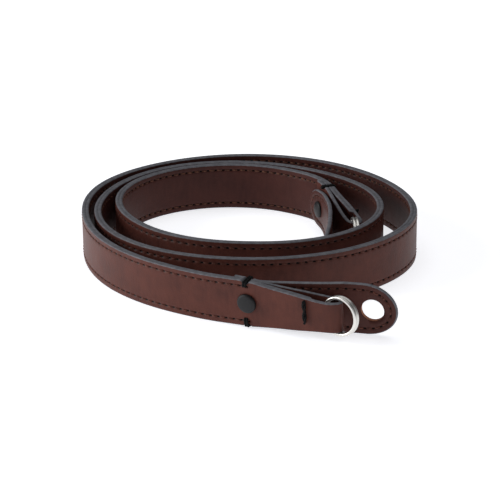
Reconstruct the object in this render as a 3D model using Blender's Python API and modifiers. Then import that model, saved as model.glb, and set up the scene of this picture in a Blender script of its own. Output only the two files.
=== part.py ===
"""Leather camera neck strap, standing coiled on its lower edge.

The strap is an outer strip and a lining strip sewn face to face. It winds inwards for a little
over two and a half turns. Past each bar tack the outer strip narrows, folds round a split ring
and comes back under the tack. A ring cover, a tongue with a punched hole, is riveted on behind.

Every size below is in millimetres, and meshes are scaled to metres as they are made.
The coil is laid out in plan and seen from above it runs clockwise from its outer end.
"""
import math

import bmesh
import bpy
import numpy as np
from mathutils import Matrix, Vector

MM = 0.001
PRODUCT = "camera_neck_strap"

# Strap: two layers of leather, glued and sewn, with a hairline between their solids.
STRAP_WIDTH = 18.0
OUTER_THICKNESS = 1.3
LINING_THICKNESS = 1.2
LAYER_GAP = 0.15
EDGE_ROUNDING = 0.35
STATION_SPACING = 7.0

# The middle of the strap's thickness, about COIL_CENTRE. The bar tacks are at the turns of
# TACKS, and the two rows at either end give the direction of the straight legs past them.
COIL_CENTRE = (0.0, -8.0)
START_ANGLE = -90.0
TACKS = (0.0, 947.0)
ROUTE = (  # turn (degrees), radius
    (-9.9, 81.0), (-5.1, 76.4), (0, 72.4), (6.4, 68.9), (30, 62.6), (60, 60.4), (90, 61.6), (120, 66.5),
    (150, 69.4), (180, 70.6), (210, 68.1), (240, 64.3), (270, 61.4), (300, 56.4),
    (330, 51.8), (360, 49.8), (390, 51.1), (420, 54.1), (450, 57.1), (480, 60.6),
    (510, 63.6), (540, 61.4), (570, 56.5), (600, 53.2), (630, 48.2), (660, 41.6),
    (690, 35.9), (720, 32.9), (750, 34.5), (780, 39.2), (810, 46.8), (840, 56.0),
    (870, 60.2), (900, 57.9), (930, 49.3), (947, 42.4),
    (961.9, 39.5), (977.9, 39.6),
)

# The outer end leans outwards at its top edge, and the lean fades out along the first turn.
LEAN = ((0, 7), (40, 4.5), (110, 0), (947, 0))  # turn, degrees of lean

# Both ends stand on their ring covers, which are wider than the strap and lift its last stretch.
COVER_WIDTH = 19.6

# Loop leg: half its width against the distance past the bar tack.
LEG_TAPER = ((0, 9.0), (11, 7.65), (20, 6.75), (25, 6.15), (30, 5.75))
LINING_END = 24.6

# Loop in plan past each tack: the outer strip goes out, round the ring's wire and back.
OUTER_LOOP = (  # along the strap, outwards from the strap's middle
    (13, 0.68), (24, 0.65), (29, 0.35), (32.8, -0.8), (34.1, -2.8), (32.8, -5.0),
    (29, -6.0), (24, -5.4), (17, -4.1), (10, -2.95), (3, -2.25), (-6.5, -2.25),
)
INNER_LOOP = (
    (12, 0.68), (24, 0.62), (29, 0.25), (33.3, -0.6), (35.5, -2.6), (34.2, -4.6),
    (31, -5.2), (25, -4.8), (18, -4.1), (11, -3.15), (4, -2.3), (-7, -2.25),
)

# Ring cover in plan: it bows away behind the loop.
COVER_THICKNESS = 1.5
COVER_LENGTH = 60.9
COVER_ROOT_HALF_WIDTH = 6.5
COVER_ROOT_DEPTH = 8.0
COVER_TIP_DEPTH = 12.0
COVER_FULL_WIDTH_AT = 42.0
COVER_HOLE = 8.3
COVER_HOLE_TO_TIP = 9.0
OUTER_COVER = (  # along the strap, outwards from the strap's middle
    (-9.5, -4.15), (0, -4.15), (4, -4.3), (9, -5.1), (16, -6.7), (25, -9.0),
    (34, -12.0), (41, -13.7), (50, -14.9), (54, -15.2),
)
INNER_COVER = (
    (-9.5, -4.15), (0, -4.15), (4, -4.3), (8, -4.95), (12, -5.9), (18, -7.4), (24, -9.35),
    (30, -11.5), (36, -13.9), (41, -16.0), (45, -18.5), (48.5, -22.2), (51, -27.5),
)

# Split ring: two coils of wire with a step where one passes to the other.
RING_OUTER_DIAMETER = 14.6
RING_WIRE = 1.2
RING_PITCH = 1.23
RING_STEP = 30.0
STEP_FACES = 180.0  # from along the strap: the step lies inside the loop

# Rivet and the threads at each tack.
RIVET_CAP = 7.2
RIVET_BACK_CAP = 6.4
RIVET_CAP_HEIGHT = 1.4
RIVET_SHANK = 3.0
RIVET_HOLE = 3.6
SEAT_GAP = 0.2
THREAD = 0.7
THREAD_GAP = 0.15
TACK_THREAD = 0.9
TACK_STANDS_OUT = 0.05
TACK_DEPTHS = {1: 2.3, -1: 3.4}  # at the top edge and at the bottom edge
TACK_STRANDS_APART = 1.1
TACK_SLANT = 0.4
GROOVE_DEPTH = 1.05  # the tight thread draws the strap's edge in
GROOVE_RADIUS = 2.5
BAR_STITCH_AT = 22.4
BAR_STITCH_UP = 1.45
BAR_STITCH_LENGTH = 8.6

ENDS = (
    dict(name="outer_end", loop=OUTER_LOOP, cover=OUTER_COVER, lean=LEAN[0][1],
         strap_up=-0.35, lift_fades_over=20.0,
         ring_at=(33.8, -2.7), ring_turn=-9.0, tack_at=-0.8, rivet_at=-0.4, outwards=-1),
    dict(name="inner_end", loop=INNER_LOOP, cover=INNER_COVER, lean=LEAN[-1][1],
         strap_up=0.2, lift_fades_over=30.0,
         ring_at=(34.0, -3.1), ring_turn=-14.0, tack_at=-0.2, rivet_at=0.6, outwards=1),
)

END_HEIGHT = COVER_WIDTH / 2 + 0.1
OUTER_OFFSET = (LINING_THICKNESS + LAYER_GAP) / 2
LINING_OFFSET = -(OUTER_THICKNESS + LAYER_GAP) / 2
STRAP_FACE = OUTER_OFFSET + OUTER_THICKNESS / 2


# ---------------------------------------------------------------- plan curves

def smooth_curve(knots, values, at):
    """Natural cubic spline through values at knots, read at the places given."""
    knots = np.asarray(knots, float)
    values = np.asarray(values, float)
    step = np.diff(knots)
    slope = np.diff(values, axis=0) / step.reshape(-1, *[1] * (values.ndim - 1))
    count = len(knots)
    system = np.eye(count)
    bend = np.zeros_like(values)
    for i in range(1, count - 1):
        system[i, i - 1:i + 2] = step[i - 1], 2 * (step[i - 1] + step[i]), step[i]
        bend[i] = 6 * (slope[i] - slope[i - 1])
    second = np.linalg.solve(system, bend)
    at = np.asarray(at, float)
    i = np.clip(np.searchsorted(knots, at) - 1, 0, count - 2)
    after = (at - knots[i]) / step[i]
    before = 1 - after
    square = step[i] ** 2 / 6
    if values.ndim > 1:
        after, before, square = after[:, None], before[:, None], square[:, None]
    return (before * values[i] + after * values[i + 1]
            + square * ((before ** 3 - before) * second[i] + (after ** 3 - after) * second[i + 1]))


def through(points, spacing):
    """Points at an even spacing along a smooth curve through a few plan points."""
    points = np.asarray(points, float)
    knots = np.r_[0, np.cumsum(np.linalg.norm(np.diff(points, axis=0), axis=1))]
    return smooth_curve(knots, points, np.linspace(0, knots[-1], round(knots[-1] / spacing) + 1))


def directions(path):
    """Unit tangents of a plan path."""
    tangent = np.gradient(path, axis=0)
    return tangent / np.linalg.norm(tangent, axis=1)[:, None]


def left_of(direction):
    """Plan direction turned a quarter turn to the left."""
    return np.stack([-direction[..., 1], direction[..., 0]], axis=-1)


def coil_points(turn):
    """Plan points of the strap's middle at the turn angles given."""
    turns, radii = zip(*ROUTE)
    radius = smooth_curve(turns, radii, turn)
    angle = np.radians(START_ANGLE - turn)
    return np.stack([COIL_CENTRE[0] + radius * np.cos(angle),
                     COIL_CENTRE[1] + radius * np.sin(angle)], axis=1)


def coil_stations():
    """Turn angles that are evenly spaced along the coil, and their plan points."""
    fine = np.linspace(*TACKS, 4000)
    run = np.r_[0, np.cumsum(np.linalg.norm(np.diff(coil_points(fine), axis=0), axis=1))]
    even = np.linspace(0, run[-1], round(run[-1] / STATION_SPACING) + 1)
    turn = np.interp(even, run, fine)
    return turn, coil_points(turn), even, run[-1]


TURN, COIL, RUN, COIL_LENGTH = coil_stations()
ALONG = coil_points(TURN + 0.1) - coil_points(TURN - 0.1)
ALONG /= np.linalg.norm(ALONG, axis=1)[:, None]
OUTWARDS = left_of(ALONG)


def end_frame(end):
    """Plan origin of an end at its tack, the direction past it and the outward direction."""
    if end["name"] == "outer_end":
        return COIL[0], -ALONG[0], OUTWARDS[0]
    return COIL[-1], ALONG[-1], OUTWARDS[-1]


def to_plan(end, local):
    """Plan points of points given along the strap past the tack and outwards from it."""
    origin, along, out = end_frame(end)
    local = np.asarray(local, float)
    return origin + local[:, :1] * along + local[:, 1:] * out


def on_strap(end, out, up):
    """Sideways place and height, in an end's frame, of a point on the leaning strap.

    The point is given outwards from the strap's middle and up along its width.
    """
    lean = math.radians(end["lean"])
    across = out * math.cos(lean) + up * math.sin(lean)
    return end["outwards"] * across, up * math.cos(lean) - out * math.sin(lean) + end["strap_up"]


def fade(amount):
    """Smooth step down from 1 at 0 to 0 at 1."""
    amount = np.clip(amount, 0, 1)
    return 1 - amount * amount * (3 - 2 * amount)


def coil_lean():
    turns, leans = zip(*LEAN)
    return np.interp(TURN, turns, leans)


def coil_height():
    """Height of the strap's middle: raised towards both ends by the wider ring covers."""
    level = STRAP_WIDTH / 2
    height = np.full(len(RUN), level)
    for end, run in zip(ENDS, (RUN, COIL_LENGTH - RUN)):
        height += (END_HEIGHT + end["strap_up"] - level) * fade(run / end["lift_fades_over"])
    return height


# ---------------------------------------------------------------- making objects

def clear_scene():
    for item in list(bpy.data.objects):
        bpy.data.objects.remove(item)


def make_collection(name):
    group = bpy.data.collections.new(name)
    bpy.context.scene.collection.children.link(group)
    return group


def material(name, colour, roughness, metallic=0.0):
    made = bpy.data.materials.new(name)
    made.use_nodes = True
    shader = made.node_tree.nodes["Principled BSDF"]
    shader.inputs["Base Color"].default_value = (*colour, 1.0)
    shader.inputs["Roughness"].default_value = roughness
    shader.inputs["Metallic"].default_value = metallic
    return made


def add_object(name, mesh, group, finish=None):
    made = bpy.data.objects.new(name, mesh)
    group.objects.link(made)
    if finish:
        mesh.materials.append(finish)
    return made


def ribbon(name, path, out, height, half_width, lean, thickness, group, finish):
    """A strip of leather on edge: a sheet along a plan path, thickened and with rounded edges.

    The sheet stands on the path, leans outwards by the lean angle at its top edge, and is
    twice the half width tall.
    """
    lean = np.radians(np.broadcast_to(lean, len(path)))[:, None]
    centre = np.column_stack([path, np.broadcast_to(height, len(path))])
    up = np.column_stack([out * np.sin(lean), np.cos(lean)])
    half = np.broadcast_to(half_width, len(path))[:, None]
    verts = np.concatenate([centre - half * up, centre + half * up]) * MM
    n = len(path)
    faces = [(i, i + 1, n + i + 1, n + i) for i in range(n - 1)]
    mesh = bpy.data.meshes.new(name)
    mesh.from_pydata(verts.tolist(), [], faces)
    made = add_object(name, mesh, group, finish)
    wall = made.modifiers.new("leather thickness", "SOLIDIFY")
    wall.thickness = thickness * MM
    wall.offset = 0
    wall.use_even_offset = True
    edge = made.modifiers.new("rounded edges", "BEVEL")
    edge.width = EDGE_ROUNDING * MM
    edge.segments = 1
    edge.limit_method = "ANGLE"
    edge.angle_limit = math.radians(50)
    return made


def cut(target, cutter):
    """Cuts a hole with the exact solver."""
    hole = target.modifiers.new("hole", "BOOLEAN")
    hole.operation = "DIFFERENCE"
    hole.solver = "EXACT"
    hole.object = cutter


def place_on_end(made, frame, at, turn=0.0, lean=0.0):
    """Sets an object in an end's frame: along, outwards and up from the tack, then turned."""
    made.parent = frame
    made.matrix_local = (Matrix.Translation(Vector(at) * MM)
                         @ Matrix.Rotation(math.radians(turn), 4, "Z")
                         @ Matrix.Rotation(math.radians(lean), 4, "X"))


def wire(name, points, diameter, roundness, group, finish):
    """A round wire or thread through the points given, with closed ends."""
    curve = bpy.data.curves.new(name, "CURVE")
    curve.dimensions = "3D"
    curve.bevel_depth = diameter / 2 * MM
    curve.bevel_resolution = roundness
    curve.use_fill_caps = True
    spline = curve.splines.new("POLY")
    spline.points.add(len(points) - 1)
    for place, point in zip(spline.points, points):
        place.co = (*(np.asarray(point) * MM), 1.0)
    return add_object(name, curve, group, finish)


# ---------------------------------------------------------------- the strap's two strips

def leg_half_width(distance):
    reach, half = zip(*LEG_TAPER)
    return np.interp(distance, reach, half)


def loop_stations(end):
    """Plan points and half widths of the outer strip past one tack, round the ring and back."""
    local = through([(0.0, OUTER_OFFSET), *end["loop"]], spacing=1.6)[1:]
    return to_plan(end, local), leg_half_width(local[:, 0])


def whole_strip(first, last, offset, name, thickness, group, finish):
    """One strip from the outer end's leg, along the coil, to the inner end's leg."""
    (first_path, first_half), (last_path, last_half) = first, last
    before, after = len(first_path), len(last_path)
    path = np.concatenate([first_path[::-1], COIL + OUTWARDS * offset, last_path])
    out = np.concatenate([np.tile(OUTWARDS[0], (before, 1)), OUTWARDS,
                          np.tile(OUTWARDS[-1], (after, 1))])
    half = np.concatenate([first_half[::-1], np.full(len(COIL), STRAP_WIDTH / 2), last_half])
    lean = np.concatenate([np.full(before, LEAN[0][1]), coil_lean(), np.full(after, LEAN[-1][1])])
    level = coil_height()
    height = np.concatenate([np.full(before, level[0]), level, np.full(after, level[-1])])
    return ribbon(name, path, out, height, half, lean, thickness, group, finish)


def make_outer_strip(group, finish):
    """The outer strip: one length of leather from the end of one loop to the end of the other."""
    first, last = (loop_stations(end) for end in ENDS)
    return whole_strip(first, last, OUTER_OFFSET, "outer_strip", OUTER_THICKNESS, group, finish)


def make_lining_strip(group, finish):
    """The lining: it backs the outer strip and stops in each leg just past the bar stitch."""
    reach = np.linspace(0, LINING_END, 6)[1:]
    local = np.column_stack([reach, np.full(len(reach), LINING_OFFSET)])
    first, last = ((to_plan(end, local), leg_half_width(reach)) for end in ENDS)
    return whole_strip(first, last, LINING_OFFSET, "lining_strip", LINING_THICKNESS, group, finish)


# ---------------------------------------------------------------- the pieces at each end

def cover_half_width(along, length):
    """Half width of a ring cover: a rounded root, a slow widening and a round tip."""
    full = COVER_WIDTH / 2
    widening = np.interp(along, (0, COVER_FULL_WIDTH_AT), (COVER_ROOT_HALF_WIDTH, full))
    root = np.sqrt(1 - (1 - np.clip(along / COVER_ROOT_DEPTH, 0, 1)) ** 2)
    tip = np.sqrt(1 - (1 - np.clip((length - along) / COVER_TIP_DEPTH, 0, 1)) ** 2)
    return widening * root * tip


def make_cover(end, group, finish):
    """A ring cover: a tongue with a round tip that bows away behind the loop."""
    fine = to_plan(end, through(end["cover"], spacing=0.5))
    run = np.r_[0, np.cumsum(np.linalg.norm(np.diff(fine, axis=0), axis=1))]
    rounded = 1 - np.cos(np.radians(np.array((8, 25, 42, 59, 76))))
    middle = np.linspace(COVER_ROOT_DEPTH, COVER_LENGTH - COVER_TIP_DEPTH, 15)
    along = np.concatenate([rounded * COVER_ROOT_DEPTH, middle,
                            COVER_LENGTH - rounded[::-1] * COVER_TIP_DEPTH])
    path = np.column_stack([np.interp(along, run, fine[:, k]) for k in range(2)])
    half = cover_half_width(along, COVER_LENGTH)
    made = ribbon("ring_cover_" + end["name"], path, end_frame(end)[2], END_HEIGHT, half,
                  end["lean"], COVER_THICKNESS, group, finish)
    at = COVER_LENGTH - COVER_HOLE_TO_TIP
    hole = [np.interp(at, along, path[:, k]) for k in range(2)]
    facing = [np.interp(at, along, left_of(directions(path))[:, k]) for k in range(2)]
    return made, hole, facing


def make_cutter(name, frame, at, facing, lean, diameter, length, group):
    """A cylinder across the leather, for a punched hole."""
    mesh = bpy.data.meshes.new(name)
    shape = bmesh.new()
    bmesh.ops.create_cone(shape, cap_ends=True, segments=24, radius1=diameter / 2 * MM,
                          radius2=diameter / 2 * MM, depth=length * MM)
    bmesh.ops.rotate(shape, verts=shape.verts, matrix=Matrix.Rotation(math.pi / 2, 3, "X"))
    shape.to_mesh(mesh)
    shape.free()
    made = add_object(name, mesh, group)
    made.location = Vector(at) * MM
    made.rotation_euler = (math.radians(lean), 0, math.atan2(facing[1], facing[0]) - math.pi / 2)
    made.parent = frame
    made.hide_render = True
    made.display_type = "WIRE"
    return made


def make_ring(end, frame, group, finish):
    """A split ring: wire coiled nearly twice, stepping from one coil to the next."""
    degrees = np.linspace(RING_STEP, 720 - RING_STEP, 57)
    step = 1 - fade((degrees - 360 + RING_STEP) / (2 * RING_STEP))
    radius = (RING_OUTER_DIAMETER - RING_WIRE) / 2
    turn = np.radians(degrees + STEP_FACES)
    points = np.column_stack([radius * np.cos(turn), (step - 0.5) * RING_PITCH,
                              radius * np.sin(turn)])
    made = wire("split_ring_" + end["name"], points, RING_WIRE, 2, group, finish)
    u, n = end["ring_at"]
    place_on_end(made, frame, (u, n * end["outwards"], 0), turn=end["ring_turn"])
    return made


def make_rivet(end, frame, group, finish):
    """A rivet with a low domed cap on the strap's face and a flatter one behind the cover."""
    cover_middle = end["cover"][1][1]
    back = cover_middle - COVER_THICKNESS / 2 - STRAP_FACE - SEAT_GAP
    cap, shank, tall = RIVET_CAP / 2, RIVET_SHANK / 2, RIVET_CAP_HEIGHT
    rear = RIVET_BACK_CAP / 2
    seat = SEAT_GAP
    profile = [(0, seat + tall), (cap * 0.55, seat + tall * 0.93), (cap * 0.86, seat + tall * 0.66),
               (cap, seat + tall * 0.2), (cap, seat), (shank, seat), (shank, back), (rear, back),
               (rear, back - tall * 0.3), (rear * 0.8, back - tall * 0.65), (0, back - tall * 0.8)]
    mesh = bpy.data.meshes.new("rivet_" + end["name"])
    verts = [(r * MM, 0, z * MM) for r, z in profile]
    mesh.from_pydata(verts, [(i, i + 1) for i in range(len(verts) - 1)], [])
    made = add_object("rivet_" + end["name"], mesh, group, finish)
    turned = made.modifiers.new("turned", "SCREW")
    turned.steps = turned.render_steps = 20
    turned.use_merge_vertices = True
    turned.merge_threshold = 0.00001
    out = end["outwards"]
    place_on_end(made, frame, (end["rivet_at"], out * STRAP_FACE, 0),
                 lean=-out * (90 + end["lean"]))
    return made


def make_tack(end, frame, edge, group, finish):
    """Two strands of thread in the groove of one edge, joined on the back of the loop's end."""
    back_of_loop = end["loop"][-1][1] - OUTER_THICKNESS / 2
    clear = TACK_THREAD / 2 + THREAD_GAP
    front, back = STRAP_FACE + clear, back_of_loop - clear
    top = STRAP_WIDTH / 2 + TACK_STANDS_OUT - TACK_THREAD / 2
    low = STRAP_WIDTH / 2 - TACK_DEPTHS[edge]
    corner = 0.2
    side = [(front, low), (front, top - 2 * corner), (front - corner, top - corner / 2),
            ((front + back) / 2, top), (back + corner, top - corner / 2), (back, top - 2 * corner)]
    strand = []
    for n, z in side:
        strand.append((end["tack_at"] + TACK_SLANT * (z - top) / (top - low), n, z))
    apart = TACK_STRANDS_APART
    there = [(u - apart / 2, n, z) for u, n, z in strand]
    back_again = [(u + apart / 2, n, z) for u, n, z in reversed(strand)]
    points = [(u, *on_strap(end, n, edge * z)) for u, n, z in there + back_again]
    which = "top" if edge > 0 else "bottom"
    made = wire("bar_tack_%s_%s" % (which, end["name"]), points, TACK_THREAD, 1, group, finish)
    made.parent = frame
    return made


def make_bar_stitch(end, frame, group, finish):
    """Two strands twisted round each other down the outer face of the leg: they cross half way."""
    sweep = THREAD * 0.56
    away = STRAP_FACE + THREAD_GAP + THREAD / 2 + sweep
    share = np.linspace(0, 1, 11)
    points = []
    for strand, order in ((0, share), (math.pi, share[::-1])):
        for part in order:
            twist = 2 * math.pi * part + strand
            u = BAR_STITCH_AT + sweep * math.sin(twist)
            n = away + sweep * math.cos(twist)
            z = (part - 0.5) * BAR_STITCH_LENGTH + BAR_STITCH_UP
            points.append((u, *on_strap(end, n, z)))
    made = wire("bar_stitch_" + end["name"], points, THREAD, 1, group, finish)
    made.parent = frame
    return made


def make_frame(end, group):
    """An empty at an end's tack: X runs past the tack, Z is up."""
    origin, along, _ = end_frame(end)
    frame = bpy.data.objects.new("frame_" + end["name"], None)
    group.objects.link(frame)
    frame.location = Vector((*origin, END_HEIGHT)) * MM
    frame.rotation_euler.z = math.atan2(along[1], along[0])
    return frame


def stand_on_origin(group):
    """Moves everything so that the middle of the strap's footprint is at the origin."""
    bpy.context.view_layer.update()
    ready = bpy.context.evaluated_depsgraph_get()
    low, high = np.full(3, np.inf), np.full(3, -np.inf)
    for item in group.objects:
        if item.type == "EMPTY":
            continue
        seen = item.evaluated_get(ready)
        mesh = seen.to_mesh()
        places = np.array([tuple(seen.matrix_world @ v.co) for v in mesh.vertices])
        low, high = np.minimum(low, places.min(0)), np.maximum(high, places.max(0))
        seen.to_mesh_clear()
    shift = Vector((-(low[0] + high[0]) / 2, -(low[1] + high[1]) / 2, -low[2]))
    for item in bpy.data.objects:
        if item.parent is None:
            item.location += shift


def build():
    clear_scene()
    parts = make_collection(PRODUCT)
    cutters = make_collection("cutters")
    leather = material("dark brown leather", (0.085, 0.035, 0.026), 0.5)
    lining = material("lining leather", (0.06, 0.022, 0.018), 0.6)
    black = material("black lacquered metal", (0.02, 0.02, 0.022), 0.45, 0.6)
    steel = material("nickel plated wire", (0.75, 0.74, 0.72), 0.25, 1.0)
    cord = material("black waxed thread", (0.008, 0.008, 0.008), 0.7)

    outer = make_outer_strip(parts, leather)
    inner = make_lining_strip(parts, lining)
    for end in ENDS:
        frame = make_frame(end, parts)
        cover, hole, facing = make_cover(end, parts, leather)
        origin, along, _ = end_frame(end)
        axes = np.column_stack([along, left_of(along)])
        punched = (*((np.array(hole) - origin) @ axes), 0)
        lean = -end["outwards"] * end["lean"]
        cut(cover, make_cutter("hole_" + end["name"], frame, punched, np.array(facing) @ axes, lean,
                               COVER_HOLE, 12.0, cutters))
        shank = make_cutter("shank_" + end["name"], frame,
                            (end["rivet_at"], STRAP_FACE * end["outwards"], 0), (0, 1), lean,
                            RIVET_HOLE, 15.0, cutters)
        for leather_piece in (outer, inner, cover):
            cut(leather_piece, shank)
        for edge in (1, -1):
            middle = edge * (STRAP_WIDTH / 2 - GROOVE_DEPTH + GROOVE_RADIUS)
            groove = make_cutter("groove_%s_%d" % (end["name"], edge), frame,
                                 (end["tack_at"], *on_strap(end, 0, middle)), (0, 1), lean,
                                 2 * GROOVE_RADIUS, 15.0, cutters)
            for strip in (outer, inner):
                cut(strip, groove)
        make_ring(end, frame, parts, steel)
        make_rivet(end, frame, parts, black)
        for edge in (1, -1):
            make_tack(end, frame, edge, parts, cord)
        make_bar_stitch(end, frame, parts, cord)
    stand_on_origin(parts)


build()
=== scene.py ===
"""Leather camera neck strap, coiled and standing on its lower edge, dressed over its CAD solids.

Sizes are in millimetres and angles in degrees, unless a comment says otherwise. Meshes are
scaled to metres as they are made. The coil is laid out in plan, as the part's source does it.
A texture's scale counts its cells in a metre, so 1000 is a pattern of 1 mm.
"""

import math

import bmesh
import bpy
import numpy as np
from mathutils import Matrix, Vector


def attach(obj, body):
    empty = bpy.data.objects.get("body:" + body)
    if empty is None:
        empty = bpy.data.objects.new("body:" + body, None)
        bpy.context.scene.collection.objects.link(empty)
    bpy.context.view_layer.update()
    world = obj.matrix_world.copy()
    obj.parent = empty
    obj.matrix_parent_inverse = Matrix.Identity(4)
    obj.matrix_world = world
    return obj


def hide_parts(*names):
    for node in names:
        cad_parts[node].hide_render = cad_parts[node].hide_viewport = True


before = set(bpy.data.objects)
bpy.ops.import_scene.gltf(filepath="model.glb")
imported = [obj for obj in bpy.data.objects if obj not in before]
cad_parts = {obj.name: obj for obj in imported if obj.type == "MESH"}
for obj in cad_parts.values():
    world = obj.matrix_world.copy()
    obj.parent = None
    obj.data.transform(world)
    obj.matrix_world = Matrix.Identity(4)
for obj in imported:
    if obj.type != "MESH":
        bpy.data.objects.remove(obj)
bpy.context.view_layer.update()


# ---------------------------------------------------------------- outer strip
# One length of drum-dyed cowhide, cut 18 mm wide and 1.3 mm thick. It is glued and machine-sewn
# to the lining. Past each tack it narrows, folds round a split ring and comes back under the tack.
# Its cut edges are rounded and sealed with grey edge paint.

MM = 0.001  # in Blender's metres
STRAP_WIDTH = 18.0
OUTER_THICKNESS = 1.3
OUTER_OFFSET = 0.675  # from the middle of the strap's thickness
OUTER_BACK = 0.7  # from the strip's own middle, so that glue nearly closes the gap to the lining
STRAP_FACE = OUTER_OFFSET + OUTER_THICKNESS / 2
COIL_CENTRE = (0.0, -8.0)
START_ANGLE = -90.0
TACKS = (0.0, 947.0)
ROUTE = (  # turn, radius of the strap's middle
    (-9.9, 81.0), (-5.1, 76.4), (0, 72.4), (6.4, 68.9), (30, 62.6), (60, 60.4), (90, 61.6),
    (120, 66.5), (150, 69.4), (180, 70.6), (210, 68.1), (240, 64.3), (270, 61.4), (300, 56.4),
    (330, 51.8), (360, 49.8), (390, 51.1), (420, 54.1), (450, 57.1), (480, 60.6),
    (510, 63.6), (540, 61.4), (570, 56.5), (600, 53.2), (630, 48.2), (660, 41.6),
    (690, 35.9), (720, 32.9), (750, 34.5), (780, 39.2), (810, 46.8), (840, 56.0),
    (870, 60.2), (900, 57.9), (930, 49.3), (947, 42.4),
    (961.9, 39.5), (977.9, 39.6),
)
LEAN = ((0, 7), (40, 4.5), (110, 0), (947, 0))  # turn, lean of the strap's top edge outwards
END_HEIGHT = 9.9  # of the middle of each ring and ring cover
LEG_TAPER = ((0, 9.0), (11, 7.65), (20, 6.75), (25, 6.15), (30, 5.75))  # past the tack, half width
GROOVE_DEPTH = 1.05  # the tight thread of each tack draws the strap's edge in
GROOVE_REACH = 1.6  # along the strap
SQUEEZED = 1.8  # from the edge inwards, how far a groove squeezes the hide
OUTER_LOOP = (  # along the strap past the tack, outwards from the strap's middle
    (13, 0.68), (24, 0.65), (29, 0.35), (32.8, -0.8), (34.1, -2.8), (32.8, -5.0),
    (29, -6.0), (24, -5.4), (17, -4.1), (10, -2.95), (3, -2.25), (-6.5, -2.25),
)
INNER_LOOP = (
    (12, 0.68), (24, 0.62), (29, 0.25), (33.3, -0.6), (35.5, -2.6), (34.2, -4.6),
    (31, -5.2), (25, -4.8), (18, -4.1), (11, -3.15), (4, -2.3), (-7, -2.25),
)
TO_ORIGIN = (0.27, 17.533, 0.005)  # moves the plan so that the footprint's middle is the origin

STITCHES = 299  # along one edge, from tack to tack, which makes each 3.1 mm long
STATIONS_PER_STITCH = 6
STITCH_LINE = 2.2  # from the strap's edge
CHANNEL_DEPTH = 0.12  # the stitches sink their own shallow channel into the hide
CHANNEL_WIDTH = 0.32  # from its middle to where it is about a third as deep
HOLE_DEPTH = 0.42
HOLE_REACH = 1.0  # half the length of the dent round one needle hole
HOLE_FULLNESS = 0.7  # power of the dent's parabola: the lower, the blunter its floor
SKIVED_SHARE = 0.8  # of the thickness, pared away at a skived end

FACE_ROWS = (0.0, 0.34, 0.67)  # shares of the way from the middle of the face to its sewn border
SEWN_BORDER = 3.6  # in from the edge
SEWN_ROWS = (3.4, 2.85, 2.5, STITCH_LINE, 1.9, 1.55, 1.05, 0.65)  # in from the edge
CORNER_RADIUS = 0.45
CORNER_ROWS = (0, 25, 50, 75, 95)  # degrees round the corner
EDGE_SWELLS = 0.02  # the paint stands out this far half way down the edge
BACK_ROWS = (  # from the back towards the face, in from the edge, distance from the paint
    (0.16, 0.0, -1.0), (0.03, 0.05, -1.0), (0.0, 0.18, -0.2), (0.0, 0.9, 0.6), (0.0, 3.0, 3.0),
)
UNDER_PAINT = -1.0  # a distance from the paint well inside it
FAR_FROM_PAINT = 9.0
PAINTED_AT_CUT = 0.05  # how far the paint laps over each end of a strip


def smooth_curve(knots, values, at):
    """Natural cubic spline: each value is a cubic between two knots, and straight at both ends."""
    knots = np.asarray(knots, float)
    values = np.asarray(values, float)
    step = np.diff(knots)
    slope = np.diff(values, axis=0) / step.reshape(-1, *[1] * (values.ndim - 1))
    count = len(knots)
    system = np.eye(count)
    bend = np.zeros_like(values)
    for i in range(1, count - 1):
        system[i, i - 1:i + 2] = step[i - 1], 2 * (step[i - 1] + step[i]), step[i]
        bend[i] = 6 * (slope[i] - slope[i - 1])
    second = np.linalg.solve(system, bend)
    at = np.asarray(at, float)
    i = np.clip(np.searchsorted(knots, at) - 1, 0, count - 2)
    after = (at - knots[i]) / step[i]
    before = 1 - after
    square = step[i] ** 2 / 6
    if values.ndim > 1:
        after, before, square = after[:, None], before[:, None], square[:, None]
    return (before * values[i] + after * values[i + 1]
            + square * ((before ** 3 - before) * second[i] + (after ** 3 - after) * second[i + 1]))


def run_along(points):
    """Distance along a line of points: the running sum of the steps between them."""
    return np.r_[0, np.cumsum(np.linalg.norm(np.diff(points, axis=0), axis=1))]


def through(points, spacing):
    """A spline through plan points against their chord lengths, read at an even spacing."""
    points = np.asarray(points, float)
    knots = run_along(points)
    return smooth_curve(knots, points, np.linspace(0, knots[-1], round(knots[-1] / spacing) + 1))


def unit(vectors):
    """Each vector divided by its own length."""
    return vectors / np.linalg.norm(vectors, axis=-1, keepdims=True)


def left_of(direction):
    """A plan direction turned a quarter turn to the left."""
    return np.stack([-direction[..., 1], direction[..., 0]], axis=-1)


def columns(table):
    """A table of rows as one array for each column."""
    return [np.array(column, float) for column in zip(*table)]


def coil_points(turn):
    """Plan points at turn angles: a radius that varies smoothly, swept clockwise."""
    radius = smooth_curve(*columns(ROUTE), turn)
    angle = np.radians(START_ANGLE - turn)
    return np.stack([COIL_CENTRE[0] + radius * np.cos(angle),
                     COIL_CENTRE[1] + radius * np.sin(angle)], axis=1)


fine_turn = np.linspace(*TACKS, 12000)
fine_run = run_along(coil_points(fine_turn))
COIL_LENGTH = fine_run[-1]
STITCH = COIL_LENGTH / STITCHES
RUN = np.linspace(0, COIL_LENGTH, STITCHES * STATIONS_PER_STITCH + 1)
TURN = np.interp(RUN, fine_run, fine_turn)
COIL = coil_points(TURN)
ALONG = unit(coil_points(TURN + 0.05) - coil_points(TURN - 0.05))
OUTWARDS = left_of(ALONG)

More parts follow.
